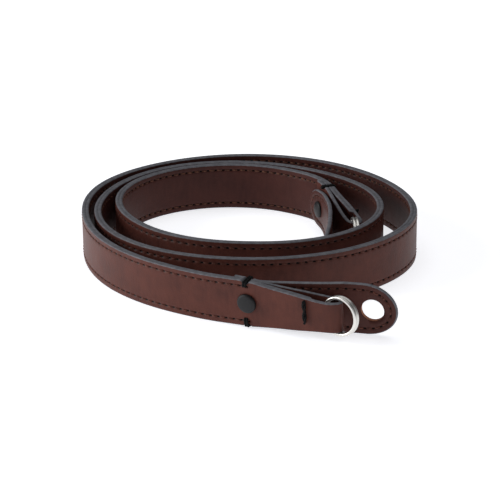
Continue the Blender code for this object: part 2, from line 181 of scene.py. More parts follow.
# side is 1 where outwards is to the leg's left and -1 where it is to its right. The leg's middle is
# strap_up above END_HEIGHT, and the coil comes down from there over lift_fades_over of its length.
ENDS = (
    dict(name="outer_end", origin=COIL[0], along=-ALONG[0], out=OUTWARDS[0], side=-1,
         lean=LEAN[0][1], loop=OUTER_LOOP, strap_up=-0.35, lift_fades_over=20.0, tack_at=-0.8),
    dict(name="inner_end", origin=COIL[-1], along=ALONG[-1], out=OUTWARDS[-1], side=1,
         lean=LEAN[-1][1], loop=INNER_LOOP, strap_up=0.2, lift_fades_over=30.0, tack_at=-0.2),
)


def to_plan(end, local):
    """Plan points of points given along the strap past an end's tack and outwards from its middle.

    Each is the tack's place plus so much of the leg's direction and so much of its outward one.
    """
    local = np.asarray(local, float)
    return end["origin"] + local[..., :1] * end["along"] + local[..., 1:2] * end["out"]


def in_space(end, along, outwards, up):
    """Points past an end's tack: outwards and up are turned by the strap's lean, up from its middle."""
    sin, cos = math.sin(math.radians(end["lean"])), math.cos(math.radians(end["lean"]))
    along, outwards, up = np.broadcast_arrays(along, outwards, up)
    plan = to_plan(end, np.stack([along, outwards * cos + up * sin], axis=-1))
    height = END_HEIGHT + end["strap_up"] + up * cos - outwards * sin
    return np.concatenate([plan, height[..., None]], axis=-1)


def fade(amount):
    """Smooth step down from 1 at 0 to 0 at 1."""
    amount = np.clip(amount, 0, 1)
    return 1 - amount * amount * (3 - 2 * amount)


def strip_line(offset, reaches):
    """The middle line of one layer: leg, coil, leg, with a direction up and out at each station.

    offset is how far outwards of the strap's middle it runs, and reaches holds each leg's
    points past its tack. Returns centre, up, out, half width, run and the depth of the tacks'
    grooves. run is the distance along the coil, and in the legs it counts on by a millimetre a
    station, because nothing is sewn there.
    """
    legs = [to_plan(end, reach) for end, reach in zip(ENDS, reaches)]
    tapers = [smooth_curve(*columns(LEG_TAPER), np.clip(reach[:, 0], 0, LEG_TAPER[-1][0]))
              for reach in reaches]
    tapers = [np.where(reach[:, 0] > 0, taper, STRAP_WIDTH / 2) for reach, taper in zip(reaches, tapers)]
    plan = np.concatenate([legs[0][::-1], COIL + OUTWARDS * offset, legs[1]])
    half = np.concatenate([tapers[0][::-1], np.full(len(COIL), STRAP_WIDTH / 2), tapers[1]])
    before, after = len(legs[0]), len(legs[1])
    lean = np.radians(np.concatenate([np.full(before, ENDS[0]["lean"]), np.interp(TURN, *columns(LEAN)),
                                      np.full(after, ENDS[1]["lean"])]))[:, None]
    leaning = np.concatenate([np.tile(OUTWARDS[0], (before, 1)), OUTWARDS,
                              np.tile(OUTWARDS[-1], (after, 1))])
    level = np.full(len(RUN), STRAP_WIDTH / 2)
    grooves = np.zeros(len(plan))
    # How far the stations of the first leg, the coil and the last leg lie past each end's tack.
    beyond = [np.full(len(reach), np.inf) for reach in reaches]
    past_tacks = ((reaches[0][::-1, 0], -RUN, beyond[1]), (beyond[0], RUN - COIL_LENGTH, reaches[1][:, 0]))
    for end, past in zip(ENDS, past_tacks):
        lift = END_HEIGHT + end["strap_up"] - STRAP_WIDTH / 2
        level += lift * fade(-past[1] / end["lift_fades_over"])
        from_tack = np.abs(np.concatenate(past) - end["tack_at"])
        grooves += GROOVE_DEPTH * fade((from_tack - GROOVE_REACH / 2) * 2 / GROOVE_REACH)
    height = np.concatenate([np.full(before, level[0]), level, np.full(after, level[-1])])
    centre = np.column_stack([plan, height])
    up = np.column_stack([leaning * np.sin(lean), np.cos(lean)])
    out = unit(np.cross(up, np.gradient(centre, axis=0)))
    run = np.concatenate([-1 - np.arange(before)[::-1], RUN, COIL_LENGTH + 1 + np.arange(after)])
    return centre, up, out, half, run, grooves


def sewn_rows(face, insets, stitch_line, radius, arc):
    """Rows of an outline from the sewn border of a face to the end of its rounded corner.

    Each is outwards, distance in from the edge, how far a needle hole sinks there, and distance
    along the surface from the paint, which starts where the corner does. The channel is a bell
    curve round the stitch line, and the corner is an arc.
    """
    rows = []
    for inset in insets:
        sunk = math.exp(-((inset - stitch_line) / CHANNEL_WIDTH) ** 2)
        rows.append((face - CHANNEL_DEPTH * sunk, inset, sunk, inset - radius))
    for degrees in arc:
        turned = math.radians(degrees)
        rows.append((face - radius + radius * math.cos(turned), radius - radius * math.sin(turned),
                     0, -0.01 - radius * turned))
    return rows


def edge_profile(face, back):
    """Half a layer's outline from the middle of its face, over the edge, to the middle of its back.

    Each row is outwards, share of the half width, distance in from the edge, how far a needle
    hole sinks there, and distance along the surface from the paint.
    """
    rows = [(face, share, share * SEWN_BORDER, 0, FAR_FROM_PAINT) for share in FACE_ROWS]
    rows += [(outwards, 1, *rest) for outwards, *rest
             in sewn_rows(face, SEWN_ROWS, STITCH_LINE, CORNER_RADIUS, CORNER_ROWS)]
    rows.append(((face + back) / 2, 1, -EDGE_SWELLS, 0, UNDER_PAINT))
    rows += [(back + rise, 1, inset, 0, from_paint) for rise, inset, from_paint in BACK_ROWS]
    rows.append((back, 0, 0.0, 0, FAR_FROM_PAINT))
    return np.array(rows)


def needle_dents(stitches):
    """How far the hide has sunk, as a share, at places that are counted in stitches.

    It is 1 at a whole number, where a needle hole is, and falls as a parabola to a power.
    """
    to_hole = np.abs((stitches + 0.5) % 1 - 0.5) * STITCH
    return np.clip(1 - (to_hole / HOLE_REACH) ** 2, 0, 1) ** HOLE_FULLNESS


def skin(name, rings, finish, shades=(), crisp=40):
    """A closed mesh over rings of points, as rings[body, station, around], capped at both ends."""
    rings = np.asarray(rings, float) + TO_ORIGIN
    bodies, stations, around = rings.shape[:3]
    index = np.arange(bodies * stations * around).reshape(bodies, stations, around)
    beside = np.roll(index, -1, axis=2)
    walls = np.stack([index[:, :-1], beside[:, :-1], beside[:, 1:], index[:, 1:]], axis=-1)
    caps = np.concatenate([index[:, 0, ::-1], index[:, -1]])
    mesh = bpy.data.meshes.new(name)
    mesh.from_pydata((rings.reshape(-1, 3) * MM).tolist(), [],
                     walls.reshape(-1, 4).tolist() + caps.tolist())
    for shade, values in dict(shades).items():
        kept = mesh.attributes.new(shade, "FLOAT", "POINT")
        kept.data.foreach_set("value", np.ascontiguousarray(values, np.float32).ravel())
    return finished(name, mesh, finish, crisp)


def finished(name, mesh, finish, crisp):
    """An object of a mesh whose faces are turned outwards and shaded smooth up to a crisp angle."""
    shape = bmesh.new()
    shape.from_mesh(mesh)
    bmesh.ops.remove_doubles(shape, verts=shape.verts, dist=1e-7)
    bmesh.ops.recalc_face_normals(shape, faces=shape.faces)
    shape.to_mesh(mesh)
    shape.free()
    mesh.shade_smooth()
    mesh.set_sharp_from_angle(angle=math.radians(crisp))
    mesh.materials.append(finish)
    made = bpy.data.objects.new(name, mesh)
    bpy.context.scene.collection.objects.link(made)
    return made


def layer(name, line, side, face, back, finish, skived=0.0):
    """One layer of the strap: its outline carried along its line, with a dent at each hole.

    A point lies at centre + up * height + out * outwards. side is 1 where the sewn face looks
    outwards and -1 where it looks inwards. Over the skived length at each end the layer thins
    towards its back.
    """
    centre, up, out, half, run, grooves = line
    profile = edge_profile(face, back)
    mirrored = profile[-2:0:-1]
    outwards, share, inset, sinks, from_paint = np.concatenate([profile, mirrored]).T
    which = np.r_[np.ones(len(profile)), -np.ones(len(mirrored))]
    squeezed = grooves[:, None] + inset * (1 - grooves[:, None] / SQUEEZED)
    inset = np.where((share == 1) & (inset < SQUEEZED), squeezed, inset)
    height = which * (share * half[:, None] - inset)
    sewn = fade(np.abs(run - np.clip(run, 0, COIL_LENGTH)))
    dent = (sewn * needle_dents(run / STITCH))[:, None] * sinks
    unsewn = (1 - sewn[:, None]) * CHANNEL_DEPTH * sinks  # fills the channel past the last hole
    to_end = run_along(centre)
    to_end = np.minimum(to_end, to_end[-1] - to_end)[:, None]
    thinned = SKIVED_SHARE * fade(to_end / skived) if skived else 0.0
    outwards = outwards - HOLE_DEPTH * dent + unsewn
    outwards = side * (outwards - (outwards - back) * thinned)
    rings = centre[:, None] + up[:, None] * height[..., None] + out[:, None] * outwards[..., None]
    # The dent's depth is also kept on the mesh, and the hide's material uses it to paint shade into each
    # needle hole.
    shades = {"from_paint": np.minimum(from_paint, to_end - PAINTED_AT_CUT), "needle_hole_shade": dent}
    return skin(name, rings[None], finish, shades)


def linear(hex_colour):
    """An sRGB hex colour as linear red, green, blue and alpha."""
    parts = np.array([int(hex_colour[i:i + 2], 16) for i in (1, 3, 5)]) / 255
    return (*np.where(parts <= 0.04045, parts / 12.92, ((parts + 0.055) / 1.055) ** 2.4), 1.0)


def new_material(name):
    """A material, its node tree and its Principled shader."""
    made = bpy.data.materials.new(name)
    made.use_nodes = True
    return made, made.node_tree, made.node_tree.nodes["Principled BSDF"]


def add_node(tree, kind, inputs=(), **settings):
    """Adds a node with its settings; inputs are values or other nodes' sockets, by name or place."""
    made = tree.nodes.new("ShaderNode" + kind)
    for name, value in settings.items():
        setattr(made, name, value)
    for name, value in dict(inputs).items():
        if isinstance(value, bpy.types.NodeSocket):
            tree.links.new(value, made.inputs[name])
        else:
            made.inputs[name].default_value = value
    return made


def blended(tree, share, first, second):
    """The colour that is share of the way from the first to the second."""
    return add_node(tree, "Mix", {0: share, 6: first, 7: second}, data_type="RGBA").outputs[2]


def ramp(tree, value, low, high):
    """A smooth step of a value from 0 at low to 1 at high."""
    return add_node(tree, "MapRange", {"Value": value, "From Min": low, "From Max": high},
                    interpolation_type="SMOOTHSTEP").outputs["Result"]


EDGE_PAINT = ("#5f5f64", "#727277")


def drum_dyed_cowhide(name, deep, pale, roughness):
    """Drum-dyed, waxed cowhide: the dye clouds over 9 mm and mottles over 1.6 mm.

    Its hair-cell grain is about 0.25 mm on the real hide. It is drawn at 0.5 mm so that it
    shows. The edge paint is a thick grey acrylic coat that ends part way round the corner.
    """
    made, tree, shader = new_material(name)
    place = add_node(tree, "TexCoord").outputs["Object"]
    drawn = add_node(tree, "Mapping", {"Vector": place, "Scale": (1.0, 1.0, 0.3)}).outputs["Vector"]
    clouds = add_node(tree, "TexNoise", {"Vector": place, "Scale": 110.0, "Detail": 3.0}).outputs[0]
    mottle = add_node(tree, "TexNoise", {"Vector": drawn, "Scale": 620.0, "Detail": 4.0}).outputs[0]
    grain = add_node(tree, "TexVoronoi", {"Vector": place, "Scale": 2000.0},
                     feature="SMOOTH_F1").outputs["Distance"]
    fibre = add_node(tree, "TexNoise", {"Vector": place, "Scale": 1500.0, "Detail": 3.0}).outputs[0]
    dye = blended(tree, ramp(tree, clouds, 0.1, 0.9), linear(deep), linear(pale))
    dye = blended(tree, ramp(tree, mottle, 0.2, 1.1), dye, linear(pale))
    # Painted shade: each needle hole's dent is coloured near black, standing in for the shadow in the hole
    # and on the thread that dips into it.
    hole_shade = add_node(tree, "Attribute", attribute_name="needle_hole_shade").outputs["Fac"]
    dye = blended(tree, ramp(tree, hole_shade, 0.18, 0.62), dye, linear("#0f0807"))
    reach = add_node(tree, "Attribute", attribute_name="from_paint").outputs["Fac"]
    ragged = add_node(tree, "Math", {0: fibre, 1: 0.35}, operation="MULTIPLY").outputs[0]
    lapped = add_node(tree, "Math", {0: reach, 1: ragged}, operation="ADD").outputs[0]
    painted = ramp(tree, lapped, 0.1, -0.04)
    paint = blended(tree, ramp(tree, mottle, 0.3, 0.7), linear(EDGE_PAINT[0]), linear(EDGE_PAINT[1]))
    tree.links.new(blended(tree, painted, dye, paint), shader.inputs["Base Color"])
    waxed = add_node(tree, "MapRange", {"Value": mottle, "To Min": roughness - 0.05,
                                        "To Max": roughness + 0.07}).outputs["Result"]
    tree.links.new(waxed, shader.inputs["Roughness"])
    relief = add_node(tree, "Math", {0: grain, 1: 0.5, 2: fibre}, operation="MULTIPLY_ADD").outputs[0]
    smoothed = add_node(tree, "MapRange", {"Value": painted, "To Min": 0.22, "To Max": 0.06})
    bump = add_node(tree, "Bump", {"Strength": smoothed.outputs["Result"], "Distance": 0.0003,
                                   "Height": relief})
    tree.links.new(bump.outputs["Normal"], shader.inputs["Normal"])
    shader.inputs["Specular IOR Level"].default_value = 0.15
    return made


outer_leather = drum_dyed_cowhide("waxed drum-dyed cowhide", "#42231e", "#5b3229", 0.46)

loops = [through([(0.0, OUTER_OFFSET), *end["loop"]], 0.5)[1:] for end in ENDS]
outer_line = strip_line(OUTER_OFFSET, loops)
outer_strip = layer("outer_strip_leather", outer_line, 1, OUTER_THICKNESS / 2, -OUTER_BACK, outer_leather)
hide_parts("outer_strip")
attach(outer_strip, "root")


# ---------------------------------------------------------------- lining strip
# A second length of the same hide, 1.2 mm thick and a shade darker. It backs the outer strip
# from one leg to the other. In each leg it is skived thin and stops just past the bar stitch.

LINING_THICKNESS = 1.2
LINING_OFFSET = -0.725  # from the middle of the strap's thickness
LINING_BACK = 0.66
LINING_END = 24.6  # past the tack
LINING_SKIVED = 1.2

lining_leather = drum_dyed_cowhide("drum-dyed lining cowhide", "#371a17", "#4a2721", 0.5)

reach = np.linspace(0, LINING_END, 50)[1:]
behind = np.column_stack([reach, np.full(len(reach), LINING_OFFSET)])
lining_line = strip_line(LINING_OFFSET, [behind, behind])
lining = layer("lining_strip_leather", lining_line, -1, LINING_THICKNESS / 2, -LINING_BACK,
               lining_leather, LINING_SKIVED)
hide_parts("lining_strip")
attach(lining, "root")


# ---------------------------------------------------------------- machine stitching of the strap
# One row of lockstitch along each edge in bonded polyester thread, 0.55 mm thick and 2.2 mm in.
# The needle thread shows on the outer face and the bobbin thread on the lining, both in channels.

THREAD_DIAMETER = 0.55
STITCH_SINKS = 0.5  # below its channel's floor at each hole
STITCH_RISES = 0.08  # above it half way between them
STITCH_SLANT = 0.1  # to either side of the row
HOLE_SHARE = 0.08  # of the stitch's length, at which it is down in its hole
STITCH_SECTIONS = (  # share of the stitch's length, share of the thread's width
    (0.14, 0.55), (0.2, 0.8), (0.3, 1.0), (0.5, 1.05), (0.7, 1.0), (0.8, 0.8), (0.86, 0.55),
)


def stitch_row(name, starts, ends, faces, finish):
    """A stitch from each start to each end: a six-sided tube that comes up out of one needle hole
    and goes down into the next.

    Its middle is start + share * (end - start), lifted off the face by a flattened sine of the
    share, and its tube narrows towards both holes.
    """
    share, width = columns(STITCH_SECTIONS)
    arch = np.sin(np.pi * (share - HOLE_SHARE) / (1 - 2 * HOLE_SHARE)) ** 0.8
    rise = -STITCH_SINKS + (STITCH_SINKS + STITCH_RISES) * arch
    line = starts[:, None] + (ends - starts)[:, None] * share[:, None]
    line = line + faces[:, None] * rise[:, None]
    side = unit(np.cross(faces, unit(ends - starts)))[:, None]
    line = line + side * (STITCH_SLANT * (0.5 - share) * 2)[:, None]
    radius = THREAD_DIAMETER / 2 * width[:, None, None]
    turned = np.radians(np.arange(6) * 60 + 30)[:, None]
    rings = (line[:, :, None] + radius * (np.cos(turned) * side[:, :, None]
                                          + np.sin(turned) * faces[:, None, None]))
    return skin(name, rings, finish, crisp=80)


def polyester_thread(name, deep, pale):
    """Bonded polyester: a soft shine. Its plies, 0.4 mm apart, show as a noise of 0.7 mm."""
    made, tree, shader = new_material(name)
    place = add_node(tree, "TexCoord").outputs["Object"]
    plies = add_node(tree, "TexNoise", {"Vector": place, "Scale": 1400.0, "Detail": 2.0}).outputs[0]
    tree.links.new(blended(tree, ramp(tree, plies, 0.35, 0.65), linear(deep), linear(pale)),
                   shader.inputs["Base Color"])
    bump = add_node(tree, "Bump", {"Strength": 0.3, "Distance": 0.0002, "Height": plies})
    tree.links.new(bump.outputs["Normal"], shader.inputs["Normal"])
    shader.inputs["Roughness"].default_value = 0.65
    shader.inputs["Specular IOR Level"].default_value = 0.2
    return made


needle_thread = polyester_thread("bonded polyester needle thread", "#42251e", "#62382d")
bobbin_thread = polyester_thread("bonded polyester bobbin thread", "#422920", "#6a4433")


def strap_stitches(name, line, side, face, finish):
    """Stitches between neighbouring needle holes along both edges of one layer."""
    centre, up, out, half, run, _ = line
    holes = np.searchsorted(run, RUN[::STATIONS_PER_STITCH] - 1e-6)
    surface = centre + out * side * (face - CHANNEL_DEPTH)
    starts, ends, faces = [], [], []
    for edge in (1, -1):
        row = (surface + up * edge * (half - STITCH_LINE)[:, None])[holes]
        starts.append(row[:-1])
        ends.append(row[1:])
        faces.append(unit((out * side)[holes][:-1] + (out * side)[holes][1:]))
    rows = [np.concatenate(part) for part in (starts, ends, faces)]
    made = stitch_row(name, *rows, finish)
    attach(made, "root")


strap_stitches("outer_face_stitching", outer_line, 1, OUTER_THICKNESS / 2, needle_thread)
strap_stitches("lining_face_stitching", lining_line, -1, LINING_THICKNESS / 2, bobbin_thread)


# ---------------------------------------------------------------- ring covers
# A tongue of two thin hides sewn back to back, 1.5 mm thick, riveted on behind each loop. It keeps
# the ring off the camera's body. A hole punched near its round tip lets the camera's lug through.

COVER_WIDTH = 19.6
COVER_THICKNESS = 1.5
COVER_LENGTH = 60.9
COVER_ROOT_HALF_WIDTH = 6.5
COVER_ROOT_DEPTH = 8.0
COVER_TIP_DEPTH = 12.0
COVER_FULL_WIDTH_AT = 42.0
COVER_HOLE = 8.3
COVER_HOLE_TO_TIP = 9.0
PUNCH_REACH = 4.0  # to each side of the cover
COVER_STITCH_LINE = 2.3
COVER_FACE_ROWS = (1.0, 0.85, 0.7, 0.6)  # shares of the way from the rim to the middle line
COVER_SEWN_ROWS = (2.95, 2.6, COVER_STITCH_LINE, 2.0, 1.65, 1.1, 0.7)  # in from the rim
COVER_CORNER_RADIUS = 0.5
COVER_CORNER_ROWS = (0, 25, 50, 75)
COVERS = {  # along the strap past the tack, outwards from the strap's middle
    "outer_end": ((-9.5, -4.15), (0, -4.15), (4, -4.3), (9, -5.1), (16, -6.7), (25, -9.0),
                  (34, -12.0), (41, -13.7), (50, -14.9), (54, -15.2)),
    "inner_end": ((-9.5, -4.15), (0, -4.15), (4, -4.3), (8, -4.95), (12, -5.9), (18, -7.4), (24, -9.35),
                  (30, -11.5), (36, -13.9), (41, -16.0), (45, -18.5), (48.5, -22.2), (51, -27.5)),
}


def cover_half_width(along):
    """Half the tongue's width: a slow widening between an elliptical root and tip."""
    widening = np.interp(along, (0, COVER_FULL_WIDTH_AT), (COVER_ROOT_HALF_WIDTH, COVER_WIDTH / 2))
    root = np.sqrt(np.clip(1 - (1 - np.clip(along / COVER_ROOT_DEPTH, 0, 1)) ** 2, 0, 1))
    tip = np.sqrt(np.clip(1 - (1 - np.clip((COVER_LENGTH - along) / COVER_TIP_DEPTH, 0, 1)) ** 2, 0, 1))
    return widening * root * tip


def cover_outline():
    """Points round the flat tongue, a whole number of stations to each stitch of its border.

    Returns the outline, and the point of the tongue's middle line that each point looks towards.
    The spacing is even along the border's stitch line.
    """
    sweep = np.linspace(0, np.pi, 3000)
    along = COVER_LENGTH * (1 - np.cos(sweep)) / 2
    half = cover_half_width(along)
    outline = np.concatenate([np.column_stack([along, half]), np.column_stack([along, -half])[-2:0:-1]])
    middle = np.column_stack([np.clip(outline[:, 0], COVER_ROOT_DEPTH, COVER_LENGTH - COVER_TIP_DEPTH),
                              np.zeros(len(outline))])
    inwards = unit(middle - outline)
    sewn = outline + inwards * COVER_STITCH_LINE
    run = run_along(np.concatenate([sewn, sewn[:1]]))
    stitches = round(run[-1] / STITCH)
    even = np.linspace(0, run[-1], stitches * STATIONS_PER_STITCH + 1)[:-1]
    closed = [np.concatenate([part, part[:1]]) for part in (outline, middle)]
    return [np.column_stack([np.interp(even, run, part[:, k]) for k in range(2)]) for part in closed]


def cover_place(end):
    """A function that bends flat points (along, across, outwards) of a tongue into its place."""
    fine = to_plan(end, through(COVERS[end["name"]], 0.25))
    run = run_along(fine)
    heading = unit(np.gradient(fine, axis=0))
    lean = math.radians(end["lean"])
    up = np.array([*(end["out"] * math.sin(lean)), math.cos(lean)])

    def bent(flat):
        along, across, outwards = np.moveaxis(flat, -1, 0)
        plan = np.stack([np.interp(along, run, fine[:, k]) for k in range(2)], axis=-1)
        ahead = np.stack([np.interp(along, run, heading[:, k]) for k in range(2)], axis=-1)
        centre = np.concatenate([plan, np.full((*along.shape, 1), END_HEIGHT)], axis=-1)
        ahead = np.concatenate([ahead, np.zeros((*along.shape, 1))], axis=-1)
        out = unit(np.cross(up, ahead)) * end["side"]
        return centre + up * across[..., None] + out * outwards[..., None]

    return bent


def cover_profile():
    """From the middle of the front, over the rim, to the middle of the back of a ring cover.

    Rows are outwards, share of the way to the middle line, distance in from the rim, how far
    a needle hole sinks there, and distance from the painted corner.
    """
    face = COVER_THICKNESS / 2
    half = [(face, share, 0, 0, FAR_FROM_PAINT) for share in COVER_FACE_ROWS]
    half += [(outwards, 0, *rest) for outwards, *rest
             in sewn_rows(face, COVER_SEWN_ROWS, COVER_STITCH_LINE, COVER_CORNER_RADIUS, COVER_CORNER_ROWS)]
    half = np.array(half)
    back = half[::-1] * (-1, 1, 1, 1, 1)
    return np.concatenate([half, [(0, 0, -EDGE_SWELLS, 0, UNDER_PAINT)], back])


cover_leather = drum_dyed_cowhide("waxed cowhide of the ring covers", "#381d19", "#4c2a24", 0.47)

# The punched hole shows the hide's undyed middle: matt, fibrous and a raw orange tan.
raw_hide, tree, shader = new_material("raw cut edge of the hide")
place = add_node(tree, "TexCoord").outputs["Object"]
fibres = add_node(tree, "TexNoise", {"Vector": place, "Scale": 1800.0, "Detail": 4.0}).outputs[0]
tree.links.new(blended(tree, fibres, linear("#7a4530"), linear("#b57a5a")), shader.inputs["Base Color"])
shader.inputs["Roughness"].default_value = 0.8


def punch(cover, bent):
    """Punches the round hole through a finished cover, with raw hide on its wall.

    The punch is a cylinder of 72 sides, square to the cover where the hole's middle is.
    """
    hole_at = COVER_LENGTH - COVER_HOLE_TO_TIP
    centre, above = bent(np.array([(hole_at, 0.0, 0.0), (hole_at, 0.0, 1.0)]))
    axis = unit(above - centre)
    level = unit(np.cross(axis, (0.0, 0.0, 1.0)))
    rise = np.cross(axis, level)
    turned = np.radians(np.arange(72) * 5)[:, None]
    ring = COVER_HOLE / 2 * (np.cos(turned) * level + np.sin(turned) * rise)
    wall = np.stack([centre + ring - PUNCH_REACH * axis, centre + ring + PUNCH_REACH * axis])
    cutter = skin("punch", wall[None], raw_hide)
    hole = cover.modifiers.new("punched hole", "BOOLEAN")
    hole.operation = "DIFFERENCE"
    hole.solver = "EXACT"
    hole.material_mode = "TRANSFER"
    hole.object = cutter
    ready = bpy.context.evaluated_depsgraph_get()
    cut = bpy.data.meshes.new_from_object(cover.evaluated_get(ready))
    cover.modifiers.clear()
    cover.data = cut
    bpy.data.objects.remove(cutter)


# The cover and its stitches are worked out flat, once, and bent into their place at each end.
outline, middle = cover_outline()
inwards = unit(middle - outline)
outwards, share, inset, sinks, from_paint = cover_profile().T
depth = share * np.linalg.norm(middle - outline, axis=1)[:, None] + inset
dent = needle_dents(np.arange(len(outline)) / STATIONS_PER_STITCH)[:, None] * sinks
lifted = outwards - np.sign(outwards) * HOLE_DEPTH * dent
flat = np.concatenate([outline[:, None] + inwards[:, None] * depth[..., None], lifted[..., None]], axis=-1)
# The dents are also kept on the mesh, and the hide's material uses them to paint shade into each needle
# hole.
shades = {"from_paint": np.broadcast_to(from_paint, dent.shape).T, "needle_hole_shade": dent.T}
sewn = (outline + inwards * COVER_STITCH_LINE)[::STATIONS_PER_STITCH]

for end in ENDS:
    bent = cover_place(end)
    around = bent(flat).transpose(1, 0, 2)
    cover = skin("ring_cover_leather_" + end["name"], around[None], cover_leather, shades)
    punch(cover, bent)
    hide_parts("ring_cover_" + end["name"])
    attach(cover, "root")

    rows = []
    for which in (1, -1):
        seat = which * (COVER_THICKNESS / 2 - CHANNEL_DEPTH)
        on = bent(np.concatenate([sewn, np.full((len(sewn), 1), seat)], axis=-1))
        off = bent(np.concatenate([sewn, np.full((len(sewn), 1), seat + which)], axis=-1))
        facing = unit(off - on)
        rows.append((on, np.roll(on, -1, axis=0), unit(facing + np.roll(facing, -1, axis=0))))
    stitched = [np.concatenate(part) for part in zip(*rows)]
    border = stitch_row("ring_cover_stitching_" + end["name"], *stitched, needle_thread)
    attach(border, "root")


# ---------------------------------------------------------------- split rings
# Steel wire drawn to a rounded square, coiled twice, hardened and nickel plated. One coil steps
# over to the other, so that the ring can be threaded through the loop.

RING_OUTER_DIAMETER = 14.6
RING_WIRE = 1.2
SQUARENESS = 3  # power of the wire's rounded square: at 2 it would be a circle
RING_PITCH = 1.23
RING_STEP = 30.0  # half the angle over which one coil steps over to the other
STEP_FACES = 180.0  # from along the strap: the step lies inside the loop
RINGS = {  # along the strap past the tack, outwards from the strap's middle, turned
    "outer_end": (33.8, -2.7, -9.0), "inner_end": (34.0, -3.1, -14.0),
}

# Bright nickel plate gives a warm white mirror, softened by fine upright marks.
nickel, tree, shader = new_material("bright nickel plate")
place = add_node(tree, "TexCoord").outputs["Object"]
drawn = add_node(tree, "Mapping", {"Vector": place, "Scale": (1.0, 1.0, 0.2)}).outputs["Vector"]
marks = add_node(tree, "TexNoise", {"Vector": drawn, "Scale": 1500.0, "Detail": 4.0}).outputs[0]
tree.links.new(blended(tree, marks, linear("#cfccc6"), linear("#e9e7e2")), shader.inputs["Base Color"])
worn = add_node(tree, "MapRange", {"Value": marks, "To Min": 0.26, "To Max": 0.4})
tree.links.new(worn.outputs["Result"], shader.inputs["Roughness"])
shader.inputs["Metallic"].default_value = 1.0

# The wire's middle runs almost twice round a circle, and half way it steps over by the pitch. Its
# section is a superellipse: the powers of its two distances from the middle have a fixed sum.
degrees = np.linspace(RING_STEP, 720 - RING_STEP, 300)
step = 1 - fade((degrees - 360 + RING_STEP) / (2 * RING_STEP))
turn = np.radians(degrees + STEP_FACES)
spoke = np.column_stack([np.cos(turn), np.zeros(len(turn)), np.sin(turn)])
axle = np.array([0.0, 1.0, 0.0])
line = spoke * (RING_OUTER_DIAMETER - RING_WIRE) / 2 + axle * ((step - 0.5) * RING_PITCH)[:, None]
around = np.radians(np.arange(20) * 18)[:, None]
cosine, sine = np.cos(around), np.sin(around)
squarish = (np.abs(cosine) ** SQUARENESS + np.abs(sine) ** SQUARENESS) ** (-1 / SQUARENESS)
wire = line[:, None] + RING_WIRE / 2 * squarish * (cosine * spoke[:, None] + sine * axle)

for end in ENDS:
    along, outwards, turned = RINGS[end["name"]]
    cos, sin = math.cos(math.radians(turned)), math.sin(math.radians(turned))
    x, y, z = np.moveaxis(wire, -1, 0)
    x, y = x * cos - y * sin, x * sin + y * cos
    plan = to_plan(end, np.stack([along + x, outwards + y * end["side"]], axis=-1))
    rings = np.concatenate([plan, (END_HEIGHT + z)[..., None]], axis=-1)
    ring = skin("split_ring_wire_" + end["name"], rings[None], nickel, crisp=50)
    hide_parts("split_ring_" + end["name"])
    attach(ring, "root")


# ---------------------------------------------------------------- rivets
# A two-part brass rivet lacquered black. Its cap is a low dome with a rolled rim, and a flatter
# cap closes it behind the ring cover.

RIVET_CAP = 7.2
RIVET_BACK_CAP = 6.4
RIVET_CAP_HEIGHT = 1.4
RIVET_SHANK = 3.0
SEAT_GAP = 0.2
DOME_WIDTH = 0.93  # share of the cap's width, inside the rolled rim
DOME_RISE = 0.38  # share of the cap's height
DOME_ARC = (2.0, 80.0)  # degrees from the middle of the cap
RIM_ROWS = ((0.975, 0.55), (1.0, 0.4), (1.0, 0.1), (0.985, 0.0))  # shares of radius and height
BACK_CAP_ROWS = ((1.0, 0.0), (1.0, 0.25), (0.95, 0.42), (0.8, 0.6), (0.5, 0.72), (1 / 32, 0.78))
RIVETS = {"outer_end": -0.4, "inner_end": 0.6}  # along the strap past the tack

# Sprayed black lacquer gives a soft grey shine with a faint orange peel.
lacquer, tree, shader = new_material("black lacquer on brass")
place = add_node(tree, "TexCoord").outputs["Object"]
specks = add_node(tree, "TexNoise", {"Vector": place, "Scale": 1500.0, "Detail": 3.0}).outputs[0]
tree.links.new(blended(tree, specks, linear("#08080a"), linear("#18181a")), shader.inputs["Base Color"])
bump = add_node(tree, "Bump", {"Strength": 0.15, "Distance": 0.0002, "Height": specks})
tree.links.new(bump.outputs["Normal"], shader.inputs["Normal"])
shader.inputs["Roughness"].default_value = 0.5
shader.inputs["Specular IOR Level"].default_value = 0.3

# The dome's radius goes as the sine of the angle from its middle, and its height as the cosine.
# Each rivet's profile is turned round an axis that leans with the strap.
dome = np.radians(np.linspace(*DOME_ARC, 12))
reach = DOME_WIDTH * RIVET_CAP / 2 * np.sin(dome) / math.sin(math.radians(DOME_ARC[1]))
rise = SEAT_GAP + RIVET_CAP_HEIGHT * (1 - DOME_RISE + DOME_RISE * np.cos(dome))
rim = [(RIVET_CAP / 2 * share, SEAT_GAP + RIVET_CAP_HEIGHT * up) for share, up in RIM_ROWS]

for end in ENDS:
    back = COVERS[end["name"]][1][1] - COVER_THICKNESS / 2 - STRAP_FACE - SEAT_GAP
    shank = [(RIVET_SHANK / 2, SEAT_GAP), (RIVET_SHANK / 2, back)]
    behind = [(RIVET_BACK_CAP / 2 * share, back - RIVET_CAP_HEIGHT * down) for share, down in BACK_CAP_ROWS]
    radius, out = np.array([*zip(reach, rise), *rim, *shank, *behind]).T
    turned = np.radians(np.arange(64) * 360 / 64)
    lean = math.radians(end["lean"])
    across = radius[:, None] * np.cos(turned)
    up = radius[:, None] * np.sin(turned)
    out = np.broadcast_to(out[:, None], up.shape)
    level = STRAP_FACE + out * math.cos(lean) + up * math.sin(lean)
    height = up * math.cos(lean) - out * math.sin(lean)
    plan = to_plan(end, np.stack([RIVETS[end["name"]] + across, level], axis=-1))
    rings = np.concatenate([plan, (END_HEIGHT + height)[..., None]], axis=-1)
    rivet = skin("rivet_cap_" + end["name"], rings[None], lacquer, crisp=35)
    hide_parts("rivet_" + end["name"])
    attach(rivet, "root")


# ---------------------------------------------------------------- bar tacks
# Heavy waxed thread, two plies twisted, 0.9 mm thick. Two strands lie in a groove of each edge of
# the strap beside the rivet, and both enter the hide on either side.

